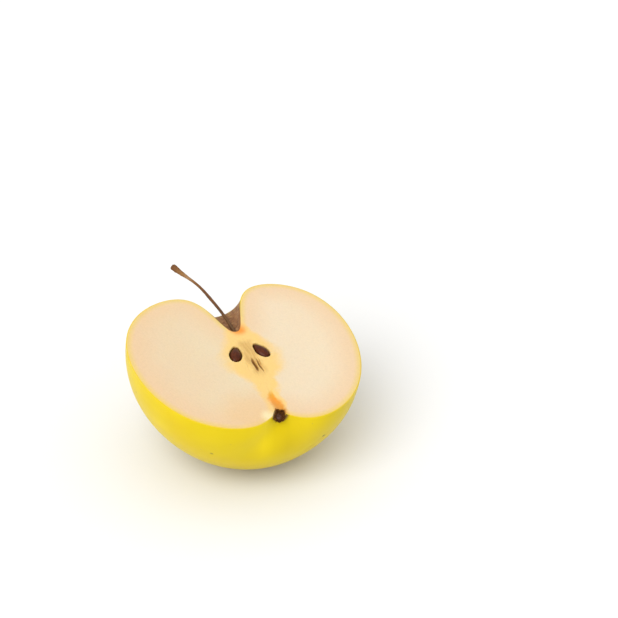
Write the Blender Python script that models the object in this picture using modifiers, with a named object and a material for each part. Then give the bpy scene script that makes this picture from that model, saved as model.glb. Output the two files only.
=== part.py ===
"""Half of a yellow apple, cut from the stem to the calyx, lying on its round back.

Metres, +Z up. The origin is the middle of the small flat spot that the half rests on.

The pieces are modelled in the fruit's own frame and then placed together: X runs across the cut
face to the right lobe, Y along the core to the stem, and Z straight out of the cut face, with
zero in the middle of the core. An empty carries that frame, tipped as the half lies.
"""

import math

import bmesh
import bpy
from mathutils import Matrix, Vector

MM = 0.001

# How the half lies: the calyx end dips, and the right lobe lies a little lower than the left.
DIP = math.radians(8.1)
ROCK = math.radians(5.0)
CORE_MIDDLE = Vector((1.05, -2.1, 36.9)) * MM

# The fruit, a superellipse turned about the core. The left lobe is the wider one. The knife went
# in just behind the middle of the core.
KNIFE_OFFSET = 0.1 * MM
LEFT_RADIUS = 38.3 * MM
RIGHT_RADIUS = 36.6 * MM
LEFT_HEIGHT = 32.8 * MM
RIGHT_HEIGHT = 33.3 * MM
SQUARENESS = 2.9
TAPER = 0.06
STEM_CAVITY_MIDDLE = -0.4 * MM
STEM_CAVITY_DEPTH = 22.0 * MM
STEM_CAVITY_WIDTH = 5.4 * MM
STEM_CAVITY_FLARE = 2.4
CALYX_BASIN_DEPTH = 5.8 * MM
CALYX_BASIN_WIDTH = 6.0 * MM
CALYX_BASIN_FLARE = 1.34

# Five soft ribs, clearest on the rim of the basin, with the radius and width of the ring where
# they swell. The rim of the basin and the shoulders round the stem each have a ring.
RIBS = 5
SIDE_RIB = 0.15 * MM
CALYX_RIB = 0.4 * MM
CALYX_RIB_RADIUS = 13.0 * MM
CALYX_RIB_WIDTH = 8.0 * MM
SHOULDER_RIB = 0.25 * MM
SHOULDER_RIB_RADIUS = 18.0 * MM
SHOULDER_RIB_WIDTH = 9.0 * MM

SKIN_SEGMENTS = 96
SKIN_RINGS = 52

# Gap that touching pieces keep.
GAP = 0.3 * MM

# Each pip lies in its seed pocket with the point towards the stem. The turn is anticlockwise on
# the cut face.
PIP_LENGTH = 6.5 * MM
PIP_WIDTH = 3.6 * MM
PIP_THICKNESS = 2.5 * MM
PIP_POINT = 0.32
PIP_SINK = 0.6 * MM
PIPS = {
    "pip_left": (Vector((-4.1, 1.0)) * MM, math.radians(-20)),
    "pip_right": (Vector((4.6, 0.95)) * MM, math.radians(21)),
}

# Two narrow slits where the other seed chambers just reach the cut face.
SLITS = {
    "slit_middle": (Vector((0.15, -4.6)) * MM, 6.8 * MM, math.radians(1)),
    "slit_right": (Vector((1.65, -5.4)) * MM, 7.6 * MM, math.radians(4)),
}
SLIT_WIDTH = 0.6 * MM
SLIT_DEPTH = 1.4 * MM

# The calyx tube, a narrow funnel that runs from the seat of the calyx into the flesh. It is a
# shallow groove in the cut face. The seat below it is as deep as it is wide, and leans to the left.
TUBE_NECK = Vector((0.95, -25.8, 0.1)) * MM
TUBE_TIP = Vector((0.6, -15.4, 0.1)) * MM
TUBE_NECK_RADIUS = 1.6 * MM
TUBE_TIP_RADIUS = 0.25 * MM
TUBE_FLATNESS = 0.4
SEAT_MOUTH = Vector((-1.4, -31.0, 0.1)) * MM
SEAT_MOUTH_RADIUS = 2.5 * MM

# The dried calyx, a thin cup in its seat, open on the cut side, with a rim of sepals.
CALYX_FLOOR_Y = -26.3 * MM
CALYX_FLOOR_HOLE = 0.5 * MM
CALYX_RIM_Y = -28.6 * MM
CALYX_WALL = 0.45 * MM
CALYX_EDGE = math.radians(18)
SEPALS = 5
SEPAL_LENGTH = 1.9 * MM
SEPAL_CURL = 0.5 * MM

# The stem's centreline with its radius there, from the root in the flesh to the knob.
STEM_PATH = (
    (Vector((0.3, 9.8, -1.75)) * MM, 0.62 * MM),
    (Vector((-0.4, 15.0, -1.6)) * MM, 0.57 * MM),
    (Vector((-0.8, 19.5, -1.45)) * MM, 0.50 * MM),
    (Vector((-1.5, 23.8, -1.3)) * MM, 0.48 * MM),
    (Vector((-2.8, 28.7, -0.85)) * MM, 0.50 * MM),
    (Vector((-4.0, 32.8, -0.45)) * MM, 0.44 * MM),
    (Vector((-5.5, 36.0, 0.0)) * MM, 0.43 * MM),
    (Vector((-7.1, 38.45, 0.35)) * MM, 0.53 * MM),
    (Vector((-8.9, 41.15, 0.75)) * MM, 0.80 * MM),
    (Vector((-10.1, 43.2, 1.0)) * MM, 1.02 * MM),
    (Vector((-10.75, 44.2, 1.1)) * MM, 0.86 * MM),
)
STEM_STEPS = 4
STEM_SOCKET_TOP = 10.0 * MM

SKIN_COLOUR = (0.83, 0.62, 0.03, 1.0)
FLESH_COLOUR = (0.90, 0.72, 0.45, 1.0)
PIP_COLOUR = (0.10, 0.03, 0.015, 1.0)
STEM_COLOUR = (0.22, 0.10, 0.03, 1.0)
CALYX_COLOUR = (0.08, 0.045, 0.025, 1.0)


def clear_scene():
    for obj in list(bpy.data.objects):
        bpy.data.objects.remove(obj, do_unlink=True)


def new_collection(name):
    collection = bpy.data.collections.new(name)
    bpy.context.scene.collection.children.link(collection)
    return collection


def material(name, colour, roughness):
    made = bpy.data.materials.new(name)
    made.use_nodes = True
    shader = made.node_tree.nodes["Principled BSDF"]
    shader.inputs["Base Color"].default_value = colour
    shader.inputs["Roughness"].default_value = roughness
    shader.inputs["Metallic"].default_value = 0.0
    return made


def put_in(collection, obj):
    for old in list(obj.users_collection):
        old.objects.unlink(obj)
    collection.objects.link(obj)


def sphere(name, collection, segments, rings):
    """A unit sphere with its poles on Y, in the given collection."""
    bpy.ops.mesh.primitive_uv_sphere_add(segments=segments, ring_count=rings, radius=1.0)
    obj = bpy.context.object
    obj.name = name
    obj.data.transform(Matrix.Rotation(-math.pi / 2, 4, "X"))
    put_in(collection, obj)
    return obj


def smooth(obj, angle):
    obj.data.shade_smooth()
    obj.data.set_sharp_from_angle(angle=angle)


def mix(left, right, share):
    return left + (right - left) * share


def ease(value):
    """0 below 0 and 1 above 1, with a smooth rise between."""
    value = min(max(value, 0.0), 1.0)
    return value * value * (3 - 2 * value)


def ring(radius, middle, width):
    """1 at the ring's middle, falling to 0 away from it and at the core."""
    return math.exp(-(((radius - middle) / width) ** 2)) * ease(radius / width)


def skin_point(down, around):
    """A point of the skin. down runs from the stem (0) to the calyx (pi), and around from the
    left lobe (0) over the back to the right lobe (pi)."""
    share = (1 - math.cos(around)) / 2
    rise = math.copysign(math.sqrt(1 - math.sin(down) ** SQUARENESS), math.cos(down))
    radius = mix(LEFT_RADIUS, RIGHT_RADIUS, share) * math.sin(down) * (1 + TAPER * rise)
    y = mix(LEFT_HEIGHT, RIGHT_HEIGHT, share) * rise

    off = math.hypot(radius * math.cos(around) + STEM_CAVITY_MIDDLE, radius * math.sin(around))
    stem_dent = 1 / (1 + (off / STEM_CAVITY_WIDTH) ** STEM_CAVITY_FLARE)
    y -= STEM_CAVITY_DEPTH * stem_dent * ease(rise / 0.35)
    calyx_dent = math.exp(-((radius / CALYX_BASIN_WIDTH) ** CALYX_BASIN_FLARE))
    y += CALYX_BASIN_DEPTH * calyx_dent * ease(-rise / 0.35)

    rib = math.sin(RIBS * around)
    below = ring(radius, CALYX_RIB_RADIUS, CALYX_RIB_WIDTH) * ease(-rise / 0.5)
    above = ring(radius, SHOULDER_RIB_RADIUS, SHOULDER_RIB_WIDTH) * ease(rise / 0.5)
    y += rib * (SHOULDER_RIB * above - CALYX_RIB * below)
    radius += rib * SIDE_RIB * math.sin(down) ** 2
    return Vector((-radius * math.cos(around), y, -radius * math.sin(around)))


def whole_fruit(collection, skin):
    """The uncut fruit, a sphere whose points are moved to the skin's form."""
    fruit = sphere("apple_half", collection, SKIN_SEGMENTS, SKIN_RINGS)
    fruit.data.transform(Matrix.Rotation(math.pi / SKIN_SEGMENTS, 4, "Y"))
    for vertex in fruit.data.vertices:
        down = math.acos(min(max(vertex.co.y, -1.0), 1.0))
        around = math.atan2(-vertex.co.z, -vertex.co.x)
        vertex.co = skin_point(down, around) + Vector((0, 0, KNIFE_OFFSET))
    fruit.data.materials.append(skin)
    return fruit


def pip_form(obj, extra):
    """Moves a unit sphere's points to a pip's drop shape, grown by extra all round."""
    for vertex in obj.data.vertices:
        narrow = 1 - PIP_POINT * ease((vertex.co.y + 0.2) / 1.2)
        flat = 1 - 0.3 * ease(vertex.co.y)
        vertex.co.x *= (PIP_WIDTH / 2) * narrow + extra
        vertex.co.z *= (PIP_THICKNESS / 2) * flat + extra
        vertex.co.y *= PIP_LENGTH / 2 + extra


def on_cut_face(obj, frame, place, turn, sink):
    obj.parent = frame
    obj.location = (place.x, place.y, -sink)
    obj.rotation_euler = (0, 0, turn)


def pip(name, collection, frame, brown):
    place, turn = PIPS[name]
    made = sphere(name, collection, 28, 18)
    pip_form(made, 0.0)
    on_cut_face(made, frame, place, turn, PIP_SINK)
    made.data.materials.append(brown)
    smooth(made, math.radians(60))
    return made


def seed_pocket(name, cutters, frame):
    """The hollow that a pip lies in, a gap wider than the pip."""
    place, turn = PIPS[name]
    cutter = sphere("pocket_" + name, cutters, 28, 18)
    pip_form(cutter, GAP)
    on_cut_face(cutter, frame, place, turn, PIP_SINK)
    return cutter


def slit(name, cutters, frame):
    place, length, turn = SLITS[name]
    cutter = sphere(name, cutters, 16, 12)
    cutter.data.transform(Matrix.Diagonal((SLIT_WIDTH / 2, length / 2, SLIT_DEPTH, 1)))
    on_cut_face(cutter, frame, place, turn, -SLIT_WIDTH / 4)
    return cutter


def cone_between(name, collection, start, end, start_radius, end_radius, sides):
    """A closed cone or cylinder from start to end, in the fruit's frame."""
    axis = end - start
    bpy.ops.mesh.primitive_cone_add(
        vertices=sides, radius1=start_radius, radius2=end_radius, depth=axis.length
    )
    obj = bpy.context.object
    obj.name = name
    turn = axis.to_track_quat("Z", "Y").to_matrix().to_4x4()
    obj.data.transform(Matrix.Translation((start + end) / 2) @ turn)
    put_in(collection, obj)
    return obj


def block(name, collection, low, high):
    bpy.ops.mesh.primitive_cube_add(size=1.0)
    obj = bpy.context.object
    obj.name = name
    obj.data.transform(Matrix.Translation((low + high) / 2) @ Matrix.Diagonal((*(high - low), 1)))
    put_in(collection, obj)
    return obj


def stem(collection, frame, bark):
    """A smooth curve through the stem's centreline, swollen at the knob."""
    curve = bpy.data.curves.new("stem", "CURVE")
    curve.dimensions = "3D"
    curve.bevel_depth = 1.0
    curve.bevel_resolution = 3
    curve.use_fill_caps = True
    curve.resolution_u = STEM_STEPS
    spline = curve.splines.new("BEZIER")
    spline.bezier_points.add(len(STEM_PATH) - 1)
    for point, (place, radius) in zip(spline.bezier_points, STEM_PATH):
        point.co = place
        point.radius = radius
        point.handle_left_type = "AUTO"
        point.handle_right_type = "AUTO"
    obj = bpy.data.objects.new("stem", curve)
    collection.objects.link(obj)
    obj.parent = frame
    curve.materials.append(bark)
    return obj


def calyx(collection, frame, dry):
    """Half of a cup whose rim runs out into pointed sepals, given its wall by Solidify."""
    around_steps, along_steps = 30, 14
    mesh = bpy.data.meshes.new("calyx")
    obj = bpy.data.objects.new("calyx", mesh)
    collection.objects.link(obj)
    shape = bmesh.new()
    bmesh.ops.create_grid(shape, x_segments=around_steps, y_segments=along_steps, size=0.5)
    for vertex in shape.verts:
        vertex.co = calyx_point(vertex.co.x + 0.5, vertex.co.y + 0.5)
    bmesh.ops.recalc_face_normals(shape, faces=shape.faces)
    shape.to_mesh(mesh)
    shape.free()
    wall = obj.modifiers.new("wall", "SOLIDIFY")
    wall.thickness = CALYX_WALL
    wall.offset = 0.0
    wall.use_even_offset = True
    obj.parent = frame
    mesh.materials.append(dry)
    smooth(obj, math.radians(50))
    return obj


def seat_at(y):
    """The centre and radius at y of the seat that holds the calyx."""
    share = (y - SEAT_MOUTH.y) / (TUBE_NECK.y - SEAT_MOUTH.y)
    return SEAT_MOUTH.lerp(TUBE_NECK, share), mix(SEAT_MOUTH_RADIUS, TUBE_NECK_RADIUS, share)


def calyx_point(around, along):
    """A point of the cup's middle surface, for around and along from 0 to 1. The floor comes
    first, then the wall, then the sepals."""
    floor, rim = 0.2, 0.5
    angle = mix(CALYX_EDGE, math.pi - CALYX_EDGE, around)
    sepal = abs(math.cos(SEPALS * (angle - math.pi / 2) / 2))
    y = mix(CALYX_FLOOR_Y, CALYX_RIM_Y, min(max(along - floor, 0.0) / (rim - floor), 1.0))
    _, radius = seat_at(y)
    radius -= GAP + CALYX_WALL / 2
    radius = mix(CALYX_FLOOR_HOLE, radius, math.sin(min(along / floor, 1.0) * math.pi / 2))
    free = max(along - rim, 0.0) / (1 - rim)
    y -= SEPAL_LENGTH * free * (0.35 + 0.65 * sepal**0.8)
    radius += SEPAL_CURL * (0.5 * math.sin(free * math.pi) - free * sepal)
    centre, _ = seat_at(y)
    inward = Vector((0, 0, -1))
    rightward = (SEAT_MOUTH - TUBE_NECK).normalized().cross(inward)
    return centre - rightward * radius * math.cos(angle) + inward * radius * math.sin(angle)


def cut_away(obj, cutters):
    """Cuts each of the cutters from obj. Its new faces take the cutter's material."""
    for cutter in cutters:
        cut = obj.modifiers.new(cutter.name, "BOOLEAN")
        cut.operation = "DIFFERENCE"
        cut.solver = "EXACT"
        cut.material_mode = "TRANSFER"
        cut.object = cutter


def make_cutters(collection, frame, flesh):
    """The knife's cut, the table's flat spot and the hollows, as the objects that cut them."""
    reach = 60 * MM
    knife = block("knife", collection, Vector((-reach, -reach, 0)), Vector((reach, reach, reach)))
    knife.parent = frame
    table = block("table", collection, Vector((-reach, -reach, -reach)), Vector((reach, reach, 0)))
    tube = cone_between(
        "calyx_tube", collection, TUBE_NECK, TUBE_TIP, TUBE_NECK_RADIUS, TUBE_TIP_RADIUS, 24
    )
    flatten = Matrix.Diagonal((1, 1, TUBE_FLATNESS, 1))
    tube.data.transform(Matrix.Translation((0, 0, TUBE_TIP.z * (1 - TUBE_FLATNESS))) @ flatten)
    tube.parent = frame
    seat = cone_between(
        "calyx_seat", collection, SEAT_MOUTH, TUBE_NECK, SEAT_MOUTH_RADIUS, TUBE_NECK_RADIUS, 24
    )
    seat.parent = frame
    root, root_radius = STEM_PATH[0]
    upward = (STEM_PATH[1][0] - root).normalized()
    socket = cone_between(
        "stem_socket",
        collection,
        root - upward * GAP,
        root + upward * STEM_SOCKET_TOP,
        root_radius + GAP,
        root_radius + GAP,
        20,
    )
    socket.parent = frame
    pockets = [seed_pocket(name, collection, frame) for name in PIPS]
    slits = [slit(name, collection, frame) for name in SLITS]
    made = [tube, seat, socket, *pockets, *slits, table, knife]
    for cutter in made:
        cutter.data.materials.append(flesh)
        cutter.hide_render = True
        cutter.display_type = "WIRE"
    return made


def main():
    clear_scene()
    parts = new_collection("apple_half")
    cutters = new_collection("cutters")

    frame = bpy.data.objects.new("fruit_frame", None)
    parts.objects.link(frame)
    frame.location = CORE_MIDDLE
    frame.rotation_mode = "YXZ"
    frame.rotation_euler = (DIP, ROCK, 0)

    skin = material("yellow_apple_skin", SKIN_COLOUR, 0.35)
    flesh = material("cut_apple_flesh", FLESH_COLOUR, 0.45)
    brown = material("apple_pip", PIP_COLOUR, 0.3)
    bark = material("apple_stem", STEM_COLOUR, 0.8)
    dry = material("dried_calyx", CALYX_COLOUR, 0.9)

    fruit = whole_fruit(parts, skin)
    fruit.parent = frame
    cut_away(fruit, make_cutters(cutters, frame, flesh))
    smooth(fruit, math.radians(40))

    stem(parts, frame, bark)
    for name in PIPS:
        pip(name, parts, frame, brown)
    calyx(parts, frame, dry)


main()
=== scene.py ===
"""The looks of a yellow apple half: its waxy skin, its cut flesh, its pips, its stem and its calyx.

Every piece is modelled in the fruit's own frame, X across the cut face to the right lobe, Y along
the core to the stem and Z straight out of the cut face, and is then moved to where it lies.
"""

import math

import bpy
from mathutils import Matrix, Vector, kdtree, noise


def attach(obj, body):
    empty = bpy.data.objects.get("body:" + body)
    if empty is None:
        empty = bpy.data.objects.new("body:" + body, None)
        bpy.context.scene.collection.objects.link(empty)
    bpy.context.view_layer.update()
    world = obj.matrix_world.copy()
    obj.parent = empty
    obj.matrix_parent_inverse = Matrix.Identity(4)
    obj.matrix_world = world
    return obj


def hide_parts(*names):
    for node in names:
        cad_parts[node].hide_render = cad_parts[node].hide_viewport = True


MM = 0.001

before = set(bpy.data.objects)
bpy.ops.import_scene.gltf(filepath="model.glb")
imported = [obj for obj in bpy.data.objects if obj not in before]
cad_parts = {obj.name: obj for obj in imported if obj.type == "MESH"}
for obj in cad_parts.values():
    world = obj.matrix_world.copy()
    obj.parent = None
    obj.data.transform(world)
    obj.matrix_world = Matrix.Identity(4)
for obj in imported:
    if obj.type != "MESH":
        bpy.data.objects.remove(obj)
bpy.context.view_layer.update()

# How the half lies on the floor, as in the CAD: the calyx end dips, and the right lobe is lower.
DIP = math.radians(8.1)
ROCK = math.radians(5.0)
CORE_MIDDLE = Vector((1.05, -2.1, 36.9)) * MM
FRUIT = Matrix.Translation(CORE_MIDDLE) @ Matrix.Rotation(DIP, 4, "X") @ Matrix.Rotation(ROCK, 4, "Y")

# The fruit's form, from the same sizes as the CAD.
LEFT_RADIUS = 38.3 * MM
RIGHT_RADIUS = 36.6 * MM
LEFT_HEIGHT = 32.8 * MM
RIGHT_HEIGHT = 33.3 * MM
SQUARENESS = 2.9
TAPER = 0.06
STEM_CAVITY_MIDDLE = -0.4 * MM
STEM_CAVITY_DEPTH = 22.0 * MM
STEM_CAVITY_WIDTH = 5.4 * MM
STEM_CAVITY_FLARE = 2.4
CALYX_BASIN_DEPTH = 5.8 * MM
CALYX_BASIN_WIDTH = 6.0 * MM
CALYX_BASIN_FLARE = 1.34
RIBS = 5
SIDE_RIB = 0.15 * MM
CALYX_RIB = 0.4 * MM
CALYX_RIB_RADIUS = 13.0 * MM
CALYX_RIB_WIDTH = 8.0 * MM
SHOULDER_RIB = 0.25 * MM
SHOULDER_RIB_RADIUS = 18.0 * MM
SHOULDER_RIB_WIDTH = 9.0 * MM

# Rows of the skin from the stem to the calyx, and columns round its back.
ROWS = 210
BACK_COLUMNS = 144

# The cut face is divided into squares by lines on each side of the core, shifted so that they
# miss the outline's corners, and once finer within each of these reaches of a hollow.
FACE_SQUARE = 1.0 * MM
FACE_LINES = 39
FACE_SHIFT = 0.37
FINER_REACHES = (1.0 * MM, 0.6 * MM, 0.3 * MM)

# Steps of the outlines that are measured along, and how near points are merged.
ROW_STEPS = 4000
RIM_STEPS = 2500
WELD = 0.002 * MM

# The knife leaves the skin's edge a little rounded, in these steps inwards from the skin, but
# sharp near the core's line.
EDGE_DROP = 0.14 * MM
EDGE_ROUNDING = 0.14 * MM
EDGE_SHARP = 5.0 * MM
EDGE_STEPS = (0.09 * MM, 0.13 * MM, 0.23 * MM, 0.35 * MM, 0.5 * MM)

# The cut swells slowly and has the knife's fine drag lines. Both fade out towards the skin.
SWELL = 0.07 * MM
SWELL_LENGTH = 11.0 * MM
DRAG = 0.018 * MM
DRAG_LENGTH = 9.0 * MM
DRAG_WIDTH = 1.6 * MM
FACE_FADE = 0.8 * MM

CORE_DIP = 0.18 * MM
CORE_CENTRE = 0.2 * MM
CORE_HALF_WIDTH = 3.0 * MM
CORE_LOW = -12.0 * MM
CORE_TOP = 8.0 * MM

PIP_LENGTH = 6.5 * MM
PIP_WIDTH = 3.6 * MM
PIP_THICKNESS = 2.5 * MM
PIP_POINT = 0.32
PIP_SINK = 0.6 * MM
PIP_LINES = 0.02 * MM
PIP_DENT = 0.06 * MM
PIP_DENT_LENGTH = 1.8 * MM
PIPS = {
    "pip_left": (Vector((-4.1, 1.0)) * MM, math.radians(-20)),
    "pip_right": (Vector((4.6, 0.95)) * MM, math.radians(21)),
}
POCKET_DEPTH = 2.3 * MM
POCKET_GAP = 0.3 * MM
POCKET_SLOPE = 0.55 * MM

# Middle, half length, half width, depth and turn of each slit between the seed chambers.
SLITS = (
    (Vector((0.35, -4.6)) * MM, 3.7 * MM, 0.62 * MM, 0.8 * MM, math.radians(1)),
    (Vector((1.75, -5.3)) * MM, 4.1 * MM, 0.32 * MM, 0.6 * MM, math.radians(4)),
    (Vector((2.4, -4.0)) * MM, 2.6 * MM, 0.14 * MM, 0.35 * MM, math.radians(3)),
    (Vector((-2.2, -5.0)) * MM, 2.6 * MM, 0.14 * MM, 0.12 * MM, math.radians(-4)),
)
SLIT_WAVE = 0.10 * MM
SLIT_SOFTNESS = 0.06 * MM

TUBE_NECK = Vector((0.95, -25.8, 0.1)) * MM
TUBE_TIP = Vector((0.6, -15.4, 0.1)) * MM
TUBE_NECK_RADIUS = 1.6 * MM
TUBE_TIP_RADIUS = 0.25 * MM
GROOVE_FLATNESS = 0.2
GROOVE_FADE = 0.8 * MM
SEAT_MOUTH = Vector((-1.4, -31.0, 0.1)) * MM
SEAT_MOUTH_RADIUS = 2.5 * MM

CALYX_FLOOR_Y = -26.3 * MM
CALYX_FLOOR_HOLE = 0.5 * MM
CALYX_RIM_Y = -28.6 * MM
CALYX_WALL = 0.4 * MM
CALYX_EDGE = math.radians(16)
CALYX_GAP = 0.3 * MM
SEPALS = 5
SEPAL_LENGTH = 1.9 * MM
SEPAL_CURL = 0.5 * MM
CRINKLE = 0.16 * MM
CRINKLE_LENGTH = 0.9 * MM
CRINKLE_SEED = 7

STAMENS = 7
THREAD_RADIUS = 0.13 * MM
THREAD_SWELL = 0.06 * MM
THREAD_BEND = 0.16 * MM

# Sides and rings of the meshes that start as a sphere.
PIP_MESH = (56, 44)
STEM_MESH = (36, 150)
THREAD_MESH = (8, 24)

# The stem's centreline and radius, from its root in the flesh to the knob.
STEM_PATH = (
    (Vector((0.3, 9.8, -1.75)) * MM, 0.62 * MM),
    (Vector((-0.4, 15.0, -1.6)) * MM, 0.57 * MM),
    (Vector((-0.8, 19.5, -1.45)) * MM, 0.50 * MM),
    (Vector((-1.5, 23.8, -1.3)) * MM, 0.48 * MM),
    (Vector((-2.8, 28.7, -0.85)) * MM, 0.50 * MM),
    (Vector((-4.0, 32.8, -0.45)) * MM, 0.44 * MM),
    (Vector((-5.5, 36.0, 0.0)) * MM, 0.43 * MM),
    (Vector((-7.1, 38.45, 0.35)) * MM, 0.53 * MM),
    (Vector((-8.9, 41.15, 0.75)) * MM, 0.80 * MM),
    (Vector((-10.1, 43.2, 1.0)) * MM, 1.02 * MM),
    (Vector((-10.75, 44.2, 1.1)) * MM, 0.86 * MM),
)

# The stem's ridges, lumps and grain, as shares of its radius, and what its knob adds to them.
STEM_RIDGES = (0.035, 0.02)
STEM_LUMPS = 0.05
KNOB_LUMPS = 0.16
STEM_GRAIN = 0.03
KNOB_GRAIN = 0.05
KNOB_START = 0.72

# The place of the flesh among the apple half's materials, after the skin.
FLESH = 1


def linear(code):
    """The linear colour of an sRGB hex code."""
    parts = [int(code[i : i + 2], 16) / 255 for i in (1, 3, 5)]
    return (*(p / 12.92 if p <= 0.04045 else ((p + 0.055) / 1.055) ** 2.4 for p in parts), 1.0)


def mix(left, right, share):
    return left + (right - left) * share


def ease(value):
    """0 below 0 and 1 above 1, with a smooth rise between."""
    value = min(max(value, 0.0), 1.0)
    return value * value * (3 - 2 * value)


def ring(radius, middle, width):
    return math.exp(-(((radius - middle) / width) ** 2)) * ease(radius / width)


def skin_point(down, around):
    """A point of the skin. down runs from the stem (0) to the calyx (pi), and around from the
    left lobe (0) over the back to the right lobe (pi)."""
    share = (1 - math.cos(around)) / 2
    rise = math.copysign(math.sqrt(1 - math.sin(down) ** SQUARENESS), math.cos(down))
    radius = mix(LEFT_RADIUS, RIGHT_RADIUS, share) * math.sin(down) * (1 + TAPER * rise)
    y = mix(LEFT_HEIGHT, RIGHT_HEIGHT, mix(0.5, share, ease(radius / (4 * MM)))) * rise
    off = math.hypot(radius * math.cos(around) + STEM_CAVITY_MIDDLE, radius * math.sin(around))
    stem_dent = 1 / (1 + (off / STEM_CAVITY_WIDTH) ** STEM_CAVITY_FLARE)
    y -= STEM_CAVITY_DEPTH * stem_dent * ease(rise / 0.35)
    calyx_dent = math.exp(-((radius / CALYX_BASIN_WIDTH) ** CALYX_BASIN_FLARE))
    y += CALYX_BASIN_DEPTH * calyx_dent * ease(-rise / 0.35)
    rib = math.sin(RIBS * around)
    below = ring(radius, CALYX_RIB_RADIUS, CALYX_RIB_WIDTH) * ease(-rise / 0.5)
    above = ring(radius, SHOULDER_RIB_RADIUS, SHOULDER_RIB_WIDTH) * ease(rise / 0.5)
    y += rib * (SHOULDER_RIB * above - CALYX_RIB * below)
    radius += rib * SIDE_RIB * math.sin(down) ** 2
    return Vector((-radius * math.cos(around), y, -radius * math.sin(around)))


def tube_at(y):
    """The calyx tube's centre and radius at y."""
    share = (y - TUBE_NECK.y) / (TUBE_TIP.y - TUBE_NECK.y)
    return TUBE_NECK.lerp(TUBE_TIP, share), mix(TUBE_NECK_RADIUS, TUBE_TIP_RADIUS, share)


def seat_at(y):
    """The centre and radius at y of the seat that holds the calyx."""
    share = (y - SEAT_MOUTH.y) / (TUBE_NECK.y - SEAT_MOUTH.y)
    return SEAT_MOUTH.lerp(TUBE_NECK, share), mix(SEAT_MOUTH_RADIUS, TUBE_NECK_RADIUS, share)


def deselect():
    if bpy.context.mode != "OBJECT":
        bpy.ops.object.mode_set(mode="OBJECT")
    bpy.ops.object.select_all(action="DESELECT")


def select(*objects):
    """Selects these objects and no other, the first one active."""
    deselect()
    for obj in objects:
        obj.select_set(True)
    bpy.context.view_layer.objects.active = objects[0]


def start_edit(obj, pick=None):
    """Enters edit mode with all faces of obj selected, or those whose middles pick accepts."""
    select(obj)
    bpy.ops.object.mode_set(mode="EDIT")
    bpy.ops.mesh.select_mode(type="FACE")
    bpy.ops.mesh.select_all(action="DESELECT" if pick else "SELECT")
    if pick:
        bpy.ops.object.mode_set(mode="OBJECT")
        for polygon in obj.data.polygons:
            polygon.select = pick(polygon.center)
        bpy.ops.object.mode_set(mode="EDIT")


def edit(obj, *operators, pick=None):
    """Runs mesh operators on obj in edit mode."""
    start_edit(obj, pick)
    for operator in operators:
        operator()
    bpy.ops.object.mode_set(mode="OBJECT")


def new_grid(name, columns, rows):
    """A grid whose points then hold their column and row as whole numbers."""
    deselect()
    bpy.ops.mesh.primitive_grid_add(x_subdivisions=columns, y_subdivisions=rows, size=2)
    obj = bpy.context.object
    obj.name = name
    for vertex in obj.data.vertices:
        vertex.co.x = round((vertex.co.x + 1) / 2 * columns)
        vertex.co.y = round((vertex.co.y + 1) / 2 * rows)
    return obj


def new_sphere(name, segments, rings):
    """A unit sphere with its poles on Y."""
    deselect()
    bpy.ops.mesh.primitive_uv_sphere_add(segments=segments, ring_count=rings, radius=1.0)
    obj = bpy.context.object
    obj.name = name
    obj.data.transform(Matrix.Rotation(-math.pi / 2, 4, "X"))
    return obj


def on_sphere(point):
    """A unit sphere's point as its angle round Y and its way from pole to pole, from 0 to 1."""
    return math.atan2(point.z, point.x), math.asin(min(max(point.y, -1.0), 1.0)) / math.pi + 0.5


def domed(along, length):
    """The share of its radius that a rod has at along, from 0 to 1, with a dome on each end."""
    end = min(along, 1 - along) / length
    return math.sqrt(1 - max(1 - end, 0.0) ** 2)


def apply_modifier(obj, kind, **settings):
    select(obj)
    modifier = obj.modifiers.new(kind.lower(), kind)
    for name, value in settings.items():
        setattr(modifier, name, value)
    bpy.ops.object.modifier_apply(modifier=modifier.name)


def into_place(obj, *nodes, slot, angle=40):
    """Moves a piece's mesh to where the fruit lies, smooths it and ties it to the CAD."""
    obj.data.transform(FRUIT)
    select(obj)
    bpy.ops.object.shade_smooth_by_angle(angle=math.radians(angle))
    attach(obj, "root")
    if nodes:
        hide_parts(*nodes)


# Rows spread evenly along the skin


def even_downs():
    """Values of down, ROWS + 1 of them, that step evenly along the left lobe's outline."""
    line = [skin_point(math.pi * i / ROW_STEPS, 0.0) for i in range(ROW_STEPS + 1)]
    along = [0.0]
    for before, after in zip(line, line[1:]):
        along.append(along[-1] + (after - before).length)
    downs = []
    at = 0
    for row in range(ROWS + 1):
        goal = along[-1] * row / ROWS
        while at < ROW_STEPS - 1 and along[at + 1] < goal:
            at += 1
        part = (goal - along[at]) / (along[at + 1] - along[at])
        downs.append(math.pi * (at + min(max(part, 0.0), 1.0)) / ROW_STEPS)
    return downs


# The cut face and its hollows: the pockets of the pips, the slits and the calyx tube


def pip_narrowing(along):
    """How a pip tapers, for along from -1 at its round end to 1 at its point."""
    return 1 - PIP_POINT * ease((along + 0.2) / 1.2)


def pip_half_width(along):
    return PIP_WIDTH / 2 * pip_narrowing(along) * math.sqrt(max(1 - along * along, 0.0))


def on_face(place, turn, x, y):
    """How far the face point (x, y) is across and along a pip or slit at place, turned by turn."""
    across, along = x - place.x, y - place.y
    cos, sin = math.cos(turn), math.sin(turn)
    return across * cos + along * sin, along * cos - across * sin


def cut_outline(downs):
    """The outline of the cut: down the left lobe from the stem and up the right one."""
    left = [skin_point(down, 0.0) for down in downs]
    right = [skin_point(down, math.pi) for down in downs[-2:0:-1]]
    return [Vector((point.x, point.y, 0.0)) for point in left + right]


def rim_finder():
    """A function that tells how far a point of the cut is from the skin."""
    fine = cut_outline([math.pi * i / RIM_STEPS for i in range(RIM_STEPS + 1)])
    tree = kdtree.KDTree(len(fine))
    for index, point in enumerate(fine):
        tree.insert(point, index)
    tree.balance()
    return lambda x, y: tree.find((x, y, 0.0))[2]


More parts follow.
